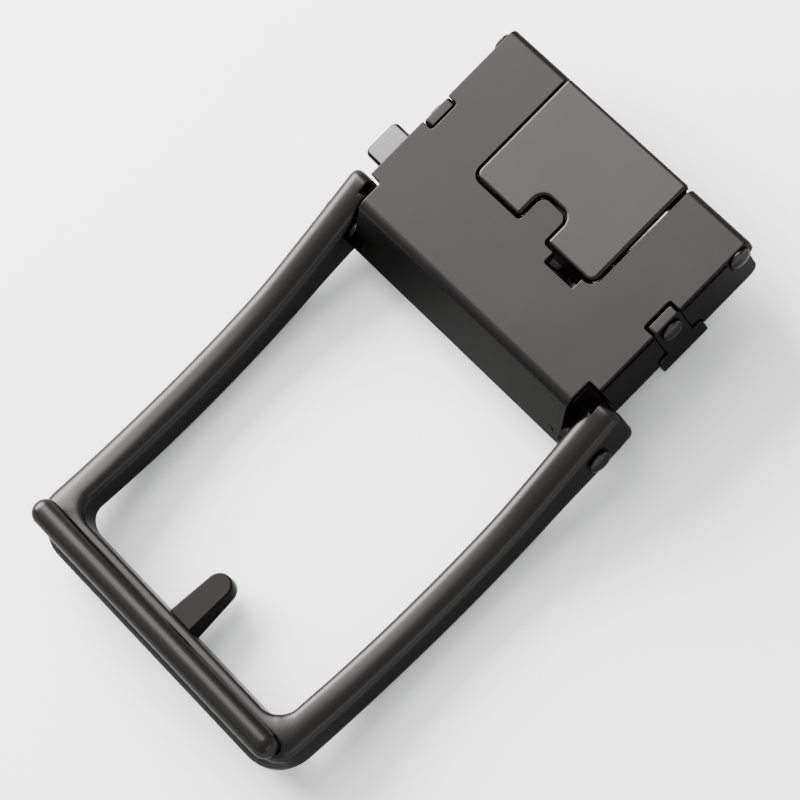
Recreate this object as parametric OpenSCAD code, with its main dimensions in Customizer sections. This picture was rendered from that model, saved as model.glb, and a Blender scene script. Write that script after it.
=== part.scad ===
// Clamp-type belt buckle for a 35 mm strap, lying on its front face.
// A hinged rectangular frame with a fixed hook peg and a round guard bar is
// riveted to a box.  The cut end of the strap enters the far end of the box
// and is held between a toothed jaw and a metal keeper loop; a flush lever
// on the back closes the jaw, and a side button slides the lever's catch.
//
// +X across the strap, +Y from the frame towards the strap mouth,
// +Z towards the wearer's side (the back of the buckle).
// Origin: middle of the keeper loop's outer face.

/* [Strap] */
// Width of the strap the box takes
strap_width = 35; // [30:0.5:45]
// Side play between the strap and each wall
strap_side_play = 0.4; // [0.2:0.05:1]
// Height of the strap channel under the closed jaw
strap_gap = 4.3; // [4.1:0.1:6]

/* [Box] */
// Length of the flat back cover
cover_length = 25.2; // [22:0.2:34]
// Thickness of the side walls
wall = 1.2; // [0.8:0.1:1.6]
// Thickness of the back cover
cover_thickness = 0.8; // [0.6:0.1:1.2]
// Distance from the cover's back face down to the wall bottoms
box_depth = 7.5; // [7.2:0.1:10]
// Length of the narrower neck the frame arms sit beside
neck_length = 3.3; // [3:0.1:5]
// Side inset of the neck
neck_inset = 1.66; // [1.2:0.02:2]
// Run of the sloping end apron along Y
apron_run = 3.8; // [3:0.1:5]
// Height of the apron
apron_drop = 6.4; // [5.8:0.1:8]
// Height of the mechanism above the strap channel
mechanism_height = 4.4; // [3.9:0.1:5.4]

/* [Keeper loop] */
// Width of the keeper band along Y
keeper_width = 6.8; // [5:0.2:9]
// Thickness of the keeper band
keeper_thickness = 1.1; // [0.8:0.1:1.6]
// Thickness of the keeper's side lugs
lug_thickness = 1.3; // [1:0.1:1.3]
// Width of the upper part of each lug
lug_width = 3.9; // [3:0.1:4.6]

/* [Lever] */
// Width of the clamp lever
lever_width = 19.2; // [16:0.2:22]
// How far the lever stands above the cover
lever_rise = 0.4; // [0.2:0.1:0.8]
// Gap between the lever and the window in the cover
lever_gap = 0.4; // [0.3:0.05:0.6]
// Width of the finger notch in the lever
notch_width = 4.9; // [3.6:0.1:6]
// Depth of the finger notch
notch_depth = 3.8; // [2.5:0.1:5]

/* [Frame] */
// Distance from the pivot to the outer edge of the crossbar
frame_length = 49.9; // [44:0.1:62]
// Width of each arm
arm_width = 4.05; // [3:0.05:4.6]
// Height of each arm
arm_height = 4.9; // [4:0.1:5.6]
// Depth of the crossbar along Y
crossbar_depth = 5.0; // [4.6:0.1:7]
// Height of the crossbar
crossbar_height = 5.0; // [4:0.1:5.4]
// Radius of the frame's bow along its length
bow_radius = 120; // [100:1:300]
// Diameter of the round guard bar
guard_bar_d = 3.2; // [2.6:0.1:3.6]
// Length of the hook peg beyond the crossbar
peg_length = 7.2; // [4:0.1:9]
// Width of the hook peg
peg_width = 3.6; // [3:0.1:5]

/* [Pins] */
// Diameter of the frame's pivot rivets
pivot_d = 2.0; // [1.6:0.1:2.4]
// Diameter of the lever hinge pin
hinge_d = 1.4; // [1.2:0.1:1.6]
// Diameter of the jaw shaft
shaft_d = 1.3; // [1:0.1:1.4]
// Diameter of the domed pin heads
head_d = 2.8; // [2.4:0.1:3]
// Height of the domed pin heads
head_h = 0.7; // [0.4:0.1:1]

/* [Latch] */
// Travel of the side button
button_travel = 2.6; // [1.5:0.1:2.8]
// Length of the side button along Y
button_length = 5.0; // [4:0.1:5.2]
// How far the button stands out of the side wall
button_out = 3.4; // [2.9:0.1:4.5]

/* [Fits] */
// Radial clearance where one part turns on another
running_fit = 0.06; // [0.04:0.01:0.1]
// Radial clearance of pressed and riveted joints
press_gap = 0.01; // [0.01:0.005:0.02]
// Plain gap between neighbouring parts
gap = 0.25; // [0.2:0.05:0.35]

/* [Hidden] */
$fn = 64;
eps = 0.05;

// box, outer and inner half widths
half_in = strap_width / 2 + strap_side_play;
half_out = half_in + wall;
neck_out = half_out - neck_inset;
neck_in = neck_out - wall;

// levels, from the keeper's outer face up
tooth_z = keeper_thickness + strap_gap;
top_z = tooth_z + mechanism_height;
under_z = top_z - cover_thickness;
wall_z = top_z - box_depth;
lever_z = top_z + lever_rise;

// jaw shaft: centred on the keeper
barrel_r = shaft_d / 2 + running_fit + 0.29;
shaft_z = under_z - 0.3 - barrel_r;

// box stations along Y
notch_half = lug_width / 2 + 0.05;
near_y = -13.6 * cover_length / 25.2;
far_y = near_y + cover_length;
step_y = near_y + neck_length;

// lever hinge, inside the rolled far edge of the cover
roll_r = 1.5;
hinge_y = far_y - 1;
hinge_z = top_z - roll_r;
lip_y = far_y + 1;
lip_r = 0.9;
lever_near_y = -2.3;
lever_half = lever_width / 2;
window_half = lever_half + lever_gap;
window_near_y = lever_near_y - lever_gap;

// frame pivot
pivot_y = near_y - 1.9;
pivot_z = top_z - 5.9;
boss_r = pivot_d / 2 + 0.45;
boss_in = 0.9;
arm_gap = 0.75;
arm_in = neck_out + arm_gap;
arm_tail = 4.6;
// squared tail: a deeper cheek on the outer part of each arm, clear of the side wall
cheek_end = 5.0;
cheek_top = 4.3;
cheek_foot = 2.7;
cheek_top_run = 11.5;
cheek_foot_run = 8.5;
cheek_r = 1.2;
cheek_in = half_out + 0.35 - arm_in;
cheek_inset = 0.25;
washer_t = arm_gap - 0.14;

// the bow: the arms' middle line passes through the pivot and is lowest at low_y
low_y = pivot_y - 23;
bow_z = pivot_z + sqrt(bow_radius * bow_radius - (pivot_y - low_y) * (pivot_y - low_y));
arm_round = 1.4;
arm_splay = 0.55;
tail_step = 0.04;

// crossbar
bar_out_y = pivot_y - frame_length;
bar_in_y = bar_out_y + crossbar_depth;
bar_half = arm_in + arm_width - 0.45;
bar_z = wall_z - 1;
bar_top_z = bar_z + crossbar_height;
corner_r = 4.6;
window_r = 3;
window_x = bar_half - arm_width;

// guard bar
guard_r = guard_bar_d / 2;
guard_seat = 0.3;
guard_y = bar_out_y + 2.65;
guard_z = bar_top_z + guard_r - guard_seat;
guard_half = bar_half - 0.9;
dowel_r = 0.6;
dowel_x = 12;
dowel_in = 1.2;

// hook peg: its root sits in a shallow seat in the crossbar's inner face
peg_seat = 0.28;
peg_root_z = bar_z + 2.5;
peg_foot_z = bar_z - 0.7;
peg_tip_z = bar_z + 1.45;
peg_tip_foot_z = bar_z - 0.5;
peg_tip_r = peg_width / 2 - 0.2;
peg_dowel_r = 0.7;
peg_dowel_z = bar_z + 1;
peg_dowel_in = 1.8;

// latch
slide_z = top_z - 2.6;
slide_t = 1.1;
button_y = near_y + 7.15;
slide_y0 = -8.4;
slide_y1 = -3.3;
blade_x = 3.9;
blade_w = 1.6;
blade_y = -4.0;
blade_t = 0.9;
slot_clear = 0.2;
bracket_z = slide_z - gap - 0.5;
bracket_t = 0.5;
bracket_x = 14;
stud_r = 0.8;
stud_x = [-11, 0];
stud_y = -6;
collar_r = 1.25;
slide_end = 6.6;

// jaw
jaw_half = half_out - lug_thickness - 0.9;
jaw_nose_y = 3.2;
jaw_nose_z = shaft_z + 0.05;
spring_x = 14.75;
spring_w = 1.8;
spring_t = 0.25;

// a solid run along X of a shape drawn in the Y-Z plane
module along_x(x0, x1) {
  translate([x0, 0, 0]) rotate([90, 0, 90]) linear_extrude(height = x1 - x0) children();
}

// a plain rod along X
module rod_x(r, x0, x1, y, z) {
  translate([x0, y, z]) rotate([0, 90, 0]) cylinder(h = x1 - x0, r = r);
}

// a block from corner to corner
module block(x0, x1, y0, y1, z0, z1) {
  translate([x0, y0, z0]) cube([x1 - x0, y1 - y0, z1 - z0]);
}

// rectangle with round corners, centred
module round_rect(w, h, r) {
  square([w - 2 * r, h], center = true);
  square([w, h - 2 * r], center = true);
  for (sx = [-1, 1], sy = [-1, 1])
    translate([sx * (w / 2 - r), sy * (h / 2 - r)]) circle(r = r);
}

// low domed head, base at x = 0, swelling towards +X
module dome_head(d, h) {
  rise = h * 0.75;
  ball_r = (d * d / 4 + rise * rise) / (2 * rise);
  rotate([0, 90, 0]) rotate_extrude()
    intersection() {
      union() {
        square([d / 2, h - rise]);
        translate([0, h - ball_r]) circle(r = ball_r);
      }
      square([d / 2, h]);
    }
}

// cover: side wall outline, split by the opening for the keeper lug
module wall_shape() {
  low_r = 1.4;
  difference() {
    union() {
      translate([step_y, wall_z + low_r]) square([far_y + 0.3 - step_y, box_depth - low_r - roll_r]);
      translate([step_y, wall_z]) square([far_y + 0.3 - low_r - step_y, low_r + eps]);
      translate([far_y + 0.3 - low_r, wall_z + low_r]) circle(r = low_r);
      translate([step_y, wall_z + 1]) square([hinge_y - step_y, box_depth - 1]);
      lip_shape();
    }
    translate([-notch_half, wall_z - 1]) square([2 * notch_half, box_depth + 2]);
    keeper_relief();
  }
}

// thick hem along the far edge, which takes the hinge pin
module lip_shape() {
  w = lip_y - hinge_y + roll_r;
  translate([lip_y - w / 2, hinge_z]) round_rect(w, 2 * roll_r, lip_r);
}

// wider foot of the lug opening, with rounded shoulders
module keeper_relief() {
  w = keeper_width / 2 + 0.1;
  translate([-w, wall_z - 1]) square([2 * w, 1.9]);
  translate([0, wall_z + 0.9]) intersection() {
    union() for (s = [-1, 1]) translate([s * (w - 0.9), 0]) circle(r = 0.9);
    translate([-w, -eps]) square([2 * w, 1]);
  }
  translate([-w + 0.9, wall_z + 0.8]) square([2 * w - 1.8, 1]);
}

// neck wall and the side outline of the apron
module neck_shape() {
  foot_z = top_z - apron_drop;
  polygon([[step_y + 1, top_z], [near_y, top_z], [near_y - apron_run, foot_z],
           [near_y - apron_run + 0.5, foot_z - 0.5], [near_y - apron_run + 1.2, wall_z],
           [step_y + 1, wall_z]]);
}

// sloping apron plate
module apron_shape() {
  foot_z = top_z - apron_drop;
  polygon([[near_y, top_z], [near_y - apron_run, foot_z],
           [near_y - apron_run + 0.5, foot_z - 0.5], [near_y - apron_run + 1.1, foot_z - 0.1],
           [near_y + 0.75, under_z], [near_y + 0.75, top_z]]);
}

module housing_cover() {
  color([0.2, 0.2, 0.21])
  difference() {
    union() {
      // flat back, wide part and neck
      block(-half_out, half_out, step_y, hinge_y, under_z, top_z);
      block(-neck_out, neck_out, near_y, step_y + eps, under_z, top_z);
      // hem along the far edge
      along_x(-half_out, half_out) lip_shape();
      // side walls
      along_x(-half_out, -half_in) wall_shape();
      along_x(half_in, half_out) wall_shape();
      // neck walls, steps and apron
      for (s = [-1, 1]) {
        along_x(s > 0 ? neck_in : -neck_out, s > 0 ? neck_out : -neck_in) neck_shape();
        block(s > 0 ? neck_in : -half_out, s > 0 ? half_out : -neck_in, step_y, step_y + wall, wall_z, top_z - eps);
        rod_x(boss_r, s > 0 ? neck_in - boss_in : -neck_in - eps, s > 0 ? neck_in + eps : -neck_in + boss_in, pivot_y, pivot_z);
      }
      along_x(-neck_out + eps, neck_out - eps) apron_shape();
    }
    // window for the lever, open at the far edge, with a tongue left in the finger notch
    translate([0, 0, under_z - 2]) linear_extrude(height = cover_thickness + 3) lever_plan(lever_gap, hinge_y);
    block(-window_half, window_half, hinge_y - roll_r - lever_gap, far_y + 3, 0, top_z + 1);
    // slot for the catch blade, meeting the window
    block(blade_x - slot_clear, blade_x + blade_w + button_travel + slot_clear,
          blade_y - slot_clear, window_near_y + eps, under_z - 1, top_z + 1);
    // notches in the back over the keeper lugs
    for (s = [-1, 1])
      block(s > 0 ? half_in - 0.35 : -half_out - 1, s > 0 ? half_out + 1 : -half_in + 0.35,
            -notch_half, notch_half, under_z - 1, top_z + 1);
    // side opening for the button
    block(-half_out - 1, -half_in + eps, button_y - button_length / 2 - 0.15, button_y + button_length / 2 + 0.15,
          slide_z - 0.2, slide_z + slide_t + 0.2);
    // bores
    rod_x(hinge_d / 2 + press_gap, -half_out - 1, half_out + 1, hinge_y, hinge_z);
    for (s = [-1, 1])
      rod_x(pivot_d / 2 + press_gap, s > 0 ? neck_in - boss_in - 1 : -neck_out - 1,
            s > 0 ? neck_out + 1 : -neck_in + boss_in + 1, pivot_y, pivot_z);
    for (x = stud_x) translate([x, stud_y, under_z - eps]) cylinder(h = 0.4 + eps, r = stud_r + press_gap);
    translate([spring_x + spring_w / 2, slide_y0, under_z - eps]) cylinder(h = 0.4 + eps, r = 0.5 + press_gap);
  }
}

// keeper lug outline: a rounded upper tab on a wider foot
module lug_shape() {
  foot_h = wall_z + 0.75;
  top = top_z - 0.2;
  r = 0.5;
  translate([-lug_width / 2, foot_h - eps]) square([lug_width, top - foot_h - r + eps]);
  translate([-lug_width / 2 + r, top - r - eps]) square([lug_width - 2 * r, r + eps]);
  for (s = [-1, 1]) translate([s * (lug_width / 2 - r), top - r]) circle(r = r);
  translate([-keeper_width / 2 + r, 0]) square([keeper_width - 2 * r, foot_h]);
  translate([-keeper_width / 2, keeper_thickness / 2]) square([keeper_width, foot_h - r - keeper_thickness / 2]);
  translate([-keeper_width / 2, 0]) square([keeper_width, foot_h - r]);
  for (s = [-1, 1]) translate([s * (keeper_width / 2 - r), foot_h - r]) circle(r = r);
}

module keeper_loop() {
  r = 0.5;
  color([0.19, 0.19, 0.2])
  difference() {
    intersection() {
      union() {
        along_x(half_out - lug_thickness, half_out) lug_shape();
        along_x(-half_out, -half_out + lug_thickness) lug_shape();
        block(-half_out, half_out, -keeper_width / 2, keeper_width / 2, 0, keeper_thickness);
      }
      // the U seen from the end: lower corners rounded
      translate([0, keeper_width, 0]) rotate([90, 0, 0]) linear_extrude(height = 2 * keeper_width)
        union() {
          translate([-half_out, r]) square([2 * half_out, top_z]);
          translate([-half_out + r, 0]) square([2 * (half_out - r), r + eps]);
          for (s = [-1, 1]) translate([s * (half_out - r), r]) circle(r = r);
        }
    }
    rod_x(shaft_d / 2 + press_gap, -half_out - 1, half_out + 1, 0, shaft_z);
  }
}

module jaw_shaft() {
  color([0.3, 0.3, 0.31]) {
    rod_x(shaft_d / 2, -half_out - 0.05, half_out + 0.05, 0, shaft_z);
    translate([half_out + 0.03, 0, shaft_z]) dome_head(head_d, head_h);
    translate([-half_out - 0.03, 0, shaft_z]) mirror([1, 0, 0]) dome_head(head_d, head_h);
  }
}

module lever_hinge_pin() {
  color([0.3, 0.3, 0.31]) {
    rod_x(hinge_d / 2, -half_out - 0.05, half_out + 0.05, hinge_y, hinge_z);
    translate([half_out + 0.03, hinge_y, hinge_z]) dome_head(head_d, head_h);
    translate([-half_out - 0.03, hinge_y, hinge_z]) mirror([1, 0, 0]) dome_head(head_d, head_h);
  }
}

// lever outline from above, with the finger notch; grow widens it for the window
module lever_plan(grow, far) {
  r = 0.9 + grow;
  half = lever_half + grow;
  y0 = lever_near_y - grow;
  nw = notch_width / 2 - grow;
  ny = lever_near_y + notch_depth - grow;
  nr = 1.5 - grow;
  difference() {
    union() {
      translate([-half, y0 + r]) square([2 * half, far - y0 - r]);
      translate([-half + r, y0]) square([2 * half - 2 * r, r + eps]);
      for (s = [-1, 1]) translate([s * (half - r), y0 + r]) circle(r = r);
    }
    translate([-nw, y0 - 1]) square([2 * nw, ny - nr - y0 + 1]);
    translate([-nw + nr, y0]) square([2 * nw - 2 * nr, ny - y0]);
    for (s = [-1, 1]) translate([s * (nw - nr), ny - nr]) circle(r = nr);
  }
}

module clamp_lever() {
  rib_z = jaw_nose_z + gap;
  color([0.22, 0.22, 0.23])
  difference() {
    union() {
      translate([0, 0, under_z + 0.1]) linear_extrude(height = lever_z - under_z - 0.1) lever_plan(0, hinge_y);
      // knuckle on the pin, and the plate's rounded far end
      along_x(-lever_half, lever_half) {
        translate([hinge_y, hinge_z]) circle(r = roll_r);
        translate([hinge_y - roll_r + eps, hinge_z]) square([2 * roll_r - 2 * eps, lever_z - hinge_z - 0.6]);
        translate([lip_y - 0.05 - 2.2, lever_z - 0.55 - eps]) round_rect(4.4, 1.1, 0.5);
      }
      // cam rib that bears on the jaw's nose
      block(-lever_half + 1.2, lever_half - 1.2, 1.9, 2.9, rib_z, under_z + 0.2);
    }
    rod_x(hinge_d / 2 + running_fit, -lever_half - 1, lever_half + 1, hinge_y, hinge_z);
  }
}

// jaw section: barrel on the shaft, nose with two rows of teeth, heel for the spring
module jaw_shape() {
  base_z = tooth_z + 0.55;
  translate([0, shaft_z]) circle(r = barrel_r);
  polygon([[-2.1, shaft_z - 0.35], [-0.5, shaft_z - 0.6], [0, base_z + 0.1], [1.2, base_z], [1.6, tooth_z],
           [2.1, base_z], [2.3, base_z], [2.75, tooth_z], [jaw_nose_y, base_z + 0.1],
           [jaw_nose_y, jaw_nose_z - 0.2], [jaw_nose_y - 0.3, jaw_nose_z], [0.6, shaft_z + 0.5],
           [-0.4, shaft_z + 0.5], [-2.1, shaft_z + 0.1]]);
}

module clamp_jaw() {
  color([0.55, 0.55, 0.56])
  difference() {
    along_x(-jaw_half, jaw_half) jaw_shape();
    rod_x(shaft_d / 2 + running_fit, -jaw_half - 1, jaw_half + 1, 0, shaft_z);
  }
}

module jaw_spring() {
  tip_z = shaft_z + 0.28;
  z = under_z - 0.02;
  color([0.62, 0.62, 0.64])
  difference() {
    along_x(spring_x, spring_x + spring_w)
      polygon([[step_y + wall + 0.3, z], [step_y + wall + 0.3, z - spring_t], [slide_y0 + 1.6, z - spring_t], [-2.0, tip_z],
               [-1.5, tip_z + 0.12], [-1.6, tip_z + 0.34], [-1.95, tip_z + spring_t], [slide_y0 + 1.7, z]]);
    translate([spring_x + spring_w / 2, slide_y0, under_z - 2]) cylinder(h = 3, r = 0.5 + press_gap);
  }
}

module spring_stud() {
  color([0.5, 0.5, 0.51])
  translate([spring_x + spring_w / 2, slide_y0, 0]) {
    translate([0, 0, under_z - spring_t - 0.4]) cylinder(h = spring_t + 0.75, r = 0.5);
    translate([0, 0, under_z - spring_t - 0.4]) cylinder(h = 0.36, r = 0.85);
  }
}

module latch_slide() {
  y0 = button_y - button_length / 2;
  r = 0.8;
  x0 = -half_out - button_out;
  color([0.6, 0.6, 0.61])
  difference() {
    union() {
      // side button with rounded outer corners
      translate([0, 0, slide_z]) linear_extrude(height = slide_t) {
        translate([x0 + r, y0]) square([-half_in + 1.5 - x0 - r, button_length]);
        translate([x0, y0 + r]) square([r + eps, button_length - 2 * r]);
        for (y = [y0 + r, y0 + button_length - r]) translate([x0 + r, y]) circle(r = r);
        translate([-half_in + 0.5, slide_y0]) square([slide_end + half_in - 0.5, slide_y1 - slide_y0]);
      }
      // catch blade standing up into the cover's slot
      block(blade_x, blade_x + blade_w, blade_y, blade_y + blade_t, slide_z + eps, top_z - 0.35);
      block(blade_x, blade_x + blade_w, slide_y1 - 1.2, blade_y + blade_t, slide_z, slide_z + slide_t);
    }
    // long holes for the guide studs
    for (x = stud_x) translate([x, stud_y, slide_z - 1]) linear_extrude(height = slide_t + 2) {
      w = stud_r + 0.12;
      translate([-button_travel - 0.1, -w]) square([button_travel + 0.2, 2 * w]);
      translate([-button_travel - 0.1, 0]) circle(r = w);
      translate([0.1, 0]) circle(r = w);
    }
  }
}

// flat wire bent to and fro between the slide and the bracket's end
module latch_spring() {
  x0 = slide_end + 0.05;
  x1 = bracket_x - 0.55;
  n = 6;
  pitch = (x1 - x0) / n;
  w = 0.3;
  y0 = -7.4;
  y1 = -4.2;
  color([0.68, 0.68, 0.7])
  translate([0, 0, slide_z + 0.2]) linear_extrude(height = slide_t - 0.4) {
    for (i = [0 : n]) translate([x0 + i * pitch - (i == n ? w : 0), y0]) square([w, y1 - y0]);
    for (i = [0 : n - 1]) translate([x0 + i * pitch, i % 2 == 0 ? y1 - w : y0]) square([pitch + (i == n - 1 ? 0 : w), w]);
  }
}

module latch_bracket() {
  color([0.45, 0.45, 0.46])
  difference() {
    union() {
      block(-13.4, bracket_x, slide_y0, slide_y1 - 0.2, bracket_z, bracket_z + bracket_t);
      block(bracket_x - 0.5, bracket_x, slide_y0, slide_y1 - 0.2, bracket_z, slide_z + slide_t + 0.3);
    }
    for (x = stud_x) translate([x, stud_y, bracket_z - 1]) cylinder(h = 3, r = stud_r - 0.2 + press_gap);
  }
}

module guide_studs() {
  color([0.5, 0.5, 0.51])
  for (x = stud_x) translate([x, stud_y, 0]) {
    // spigot in the cover, collar, shank through the slide, neck riveted over the bracket
    translate([0, 0, bracket_z + bracket_t + 0.01]) cylinder(h = under_z + 0.35 - bracket_z - bracket_t, r = stud_r);
    translate([0, 0, slide_z + slide_t + gap]) cylinder(h = under_z - 0.01 - slide_z - slide_t - gap, r = collar_r);
    translate([0, 0, bracket_z - 0.2]) cylinder(h = bracket_t + 0.4, r = stud_r - 0.2);
    translate([0, 0, bracket_z - 0.3]) cylinder(h = 0.29, r = stud_r + 0.3);
  }
}

// height of the arm's middle line above the pivot, at a station along Y
function bow_at(y) = bow_z - sqrt(bow_radius * bow_radius - (y - low_y) * (y - low_y)) - pivot_z;

// side outline of the cheek, measured from the pivot: deepening towards a squared end
module cheek_shape() {
  corner_y = cheek_end - cheek_r;
  polygon([[-cheek_top_run, bow_at(pivot_y - cheek_top_run) + arm_height / 2 - eps],
           [-cheek_foot_run, bow_at(pivot_y - cheek_foot_run) - arm_height / 2 + 2 * eps],
           [corner_y, -cheek_foot], [corner_y, cheek_top]]);
  translate([corner_y - eps, cheek_r - cheek_foot]) square([cheek_r + eps, cheek_top + cheek_foot - 2 * cheek_r]);
  for (z = [cheek_top - cheek_r, cheek_r - cheek_foot]) translate([corner_y, z]) circle(r = cheek_r);
}

// one bowed arm with a squared tail behind the pivot; s = -1 left, 1 right
module arm(s) {
  x_mid = arm_in + arm_width / 2;
  tail_y = pivot_y + arm_tail - arm_height / 2;
  a_tail = asin((tail_y - low_y) / bow_radius);
  a_end = asin((bar_out_y + 0.2 - low_y) / bow_radius);
  translate([s * x_mid, pivot_y, 0]) rotate([0, 0, -s * arm_splay]) translate([0, low_y - pivot_y, bow_z])
    rotate([0, 90, 0]) {
      rotate([0, 0, a_end]) rotate_extrude(angle = a_tail - a_end)
        translate([bow_radius, 0]) round_rect(arm_height, arm_width, arm_round);
      // tail: the section, a hair smaller, turned round about its own middle
      rotate([0, 0, a_tail]) translate([bow_radius, -0.1, 0]) rotate_extrude()
        intersection() {
          round_rect(arm_height - 2 * tail_step, arm_width - 2 * tail_step, arm_round - tail_step);
          translate([0, -arm_width]) square([arm_height, 2 * arm_width]);
        }
    }
  // cheek, on the side away from the box
  translate([0, pivot_y, pivot_z])
    along_x(s > 0 ? arm_in + cheek_in : -arm_in - arm_width + cheek_inset, s > 0 ? arm_in + arm_width - cheek_inset : -arm_in - cheek_in)
      cheek_shape();
}

// frame outline from above: rounded outer end, open towards the box
module frame_outline(half, end_y, r, open_y) {
  translate([-half, end_y + r]) square([2 * half, open_y - end_y - r]);
  translate([-half + r, end_y]) square([2 * half - 2 * r, r + eps]);
  for (s = [-1, 1]) translate([s * (half - r), end_y + r]) circle(r = r);
}

module frame() {
  color([0.17, 0.17, 0.18])
  difference() {
    union() {
      // arms, trimmed to the rounded end
      intersection() {
        union() { arm(-1); arm(1); }
        translate([0, 0, -5]) linear_extrude(height = 20)
          union() {
            frame_outline(bar_half + 0.3, bar_out_y + 0.6, corner_r, bar_in_y + 2);
            translate([-40, bar_in_y + 1.9]) square([80, 80]);
          }
      }
      // crossbar: lower ledge and the body above it
      difference() {
        union() {
          translate([0, 0, bar_z]) linear_extrude(height = crossbar_height * 0.6)
            frame_outline(bar_half - 0.1, bar_out_y, corner_r, bar_in_y + window_r + 0.4);
          translate([0, 0, bar_z + 0.4]) linear_extrude(height = crossbar_height - 0.4)
            frame_outline(bar_half - 0.5, bar_out_y + 0.7, corner_r - 0.4, bar_in_y + window_r + 0.4);
        }
        // window, with rounded inner corners
        translate([0, 0, bar_z - 1]) linear_extrude(height = crossbar_height + 2)
          frame_outline(window_x, bar_in_y, window_r, bar_in_y + 3 * window_r);
      }
    }
    // pivot bores
    for (s = [-1, 1])
      rod_x(pivot_d / 2 + running_fit, s > 0 ? arm_in - 2 : -arm_in - arm_width - 2,
            s > 0 ? arm_in + arm_width + 2 : -arm_in + 2, pivot_y, pivot_z);
    // round seat of the guard bar, short of its domed ends, and its dowel holes
    rod_x(guard_r + press_gap, -guard_half + 0.35, guard_half - 0.35, guard_y, guard_z);
    for (s = [-1, 1]) translate([s * dowel_x, guard_y, bar_top_z - dowel_in - 0.02]) cylinder(h = 5, r = dowel_r + press_gap);
    // blind hole for the peg's dowel
    translate([0, bar_in_y + 1, peg_dowel_z]) rotate([90, 0, 0]) cylinder(h = peg_dowel_in + 1.02, r = peg_dowel_r + press_gap);
    // seat for the root of the hook peg
    block(-peg_width / 2 - 0.02, peg_width / 2 + 0.02, bar_in_y - peg_seat - 0.02, bar_in_y + 1, bar_z - 1, peg_root_z + 0.02);
  }
}

// shouldered rivet, head outwards; s = -1 left, 1 right
module pivot_rivet(s) {
  color([0.3, 0.3, 0.31])
  mirror([s < 0 ? 1 : 0, 0, 0]) {
    rod_x(pivot_d / 2, neck_in - boss_in + 0.1, arm_in + arm_width + 0.15, pivot_y, pivot_z);
    translate([arm_in + arm_width + 0.12, pivot_y, pivot_z]) dome_head(head_d + 0.2, head_h);
  }
}
module pivot_rivet_left() { pivot_rivet(-1); }
module pivot_rivet_right() { pivot_rivet(1); }

// thin washer between the neck wall and the arm
module pivot_washer(s) {
  color([0.6, 0.6, 0.61])
  mirror([s < 0 ? 1 : 0, 0, 0])
  difference() {
    rod_x(pivot_d / 2 + 0.9, neck_out + 0.02, neck_out + 0.02 + washer_t, pivot_y, pivot_z);
    rod_x(pivot_d / 2 + press_gap, neck_out - 1, neck_out + 1, pivot_y, pivot_z);
  }
}
module pivot_washer_left() { pivot_washer(-1); }
module pivot_washer_right() { pivot_washer(1); }

module guard_bar() {
  color([0.2, 0.2, 0.21])
  difference() {
    translate([0, guard_y, guard_z]) rotate([0, 90, 0]) rotate_extrude()
      intersection() {
        union() {
          translate([0, -guard_half + guard_r]) square([guard_r, 2 * (guard_half - guard_r)]);
          for (s = [-1, 1]) translate([0, s * (guard_half - guard_r)]) circle(r = guard_r);
        }
        translate([0, -guard_half]) square([guard_r, 2 * guard_half]);
      }
    for (s = [-1, 1]) translate([s * dowel_x, guard_y, guard_z - guard_r - 1]) cylinder(h = guard_r + 1.32, r = dowel_r + press_gap);
  }
}

// dowel that pins the guard bar to the crossbar
module bar_dowel(s) {
  color([0.5, 0.5, 0.51])
  translate([s * dowel_x, guard_y, bar_top_z - dowel_in]) cylinder(h = guard_z + 0.3 - bar_top_z + dowel_in, r = dowel_r);
}
module bar_dowel_left() { bar_dowel(-1); }
module bar_dowel_right() { bar_dowel(1); }

// hook peg: deep at the crossbar, thinning and narrowing to a round tip
module hook_peg() {
  tip_y = bar_in_y + peg_length;
  round_y = tip_y - peg_tip_r;
  root_y = bar_in_y - peg_seat;
  color([0.18, 0.18, 0.19])
  difference() {
    intersection() {
      translate([0, 0, peg_foot_z - 1]) linear_extrude(height = crossbar_height + 2)
        union() {
          polygon([[-peg_width / 2, root_y], [peg_width / 2, root_y], [peg_width / 2, bar_in_y],
                   [peg_tip_r, round_y], [-peg_tip_r, round_y], [-peg_width / 2, bar_in_y]]);
          translate([0, round_y - 0.02]) circle(r = peg_tip_r);
        }
      along_x(-peg_width, peg_width)
        polygon([[root_y - 1, peg_foot_z], [bar_in_y, peg_foot_z], [tip_y + 0.5, peg_tip_foot_z], [tip_y + 0.5, peg_tip_z],
                 [bar_in_y, peg_root_z], [root_y - 1, peg_root_z]]);
    }
    translate([0, bar_in_y + peg_dowel_in, peg_dowel_z]) rotate([90, 0, 0]) cylinder(h = 5, r = peg_dowel_r + press_gap);
  }
}

module peg_dowel() {
  color([0.5, 0.5, 0.51])
  translate([0, bar_in_y + peg_dowel_in - 0.02, peg_dowel_z]) rotate([90, 0, 0])
    cylinder(h = 2 * peg_dowel_in - 0.04, r = peg_dowel_r);
}

housing_cover();
keeper_loop();
jaw_shaft();
lever_hinge_pin();
clamp_lever();
clamp_jaw();
jaw_spring();
spring_stud();
latch_slide();
latch_spring();
latch_bracket();
guide_studs();
frame();
pivot_rivet_left();
pivot_rivet_right();
pivot_washer_left();
pivot_washer_right();
guard_bar();
bar_dowel_left();
bar_dowel_right();
hook_peg();
peg_dowel();
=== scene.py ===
import bpy, bmesh, math
from mathutils import Matrix, Vector


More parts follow.
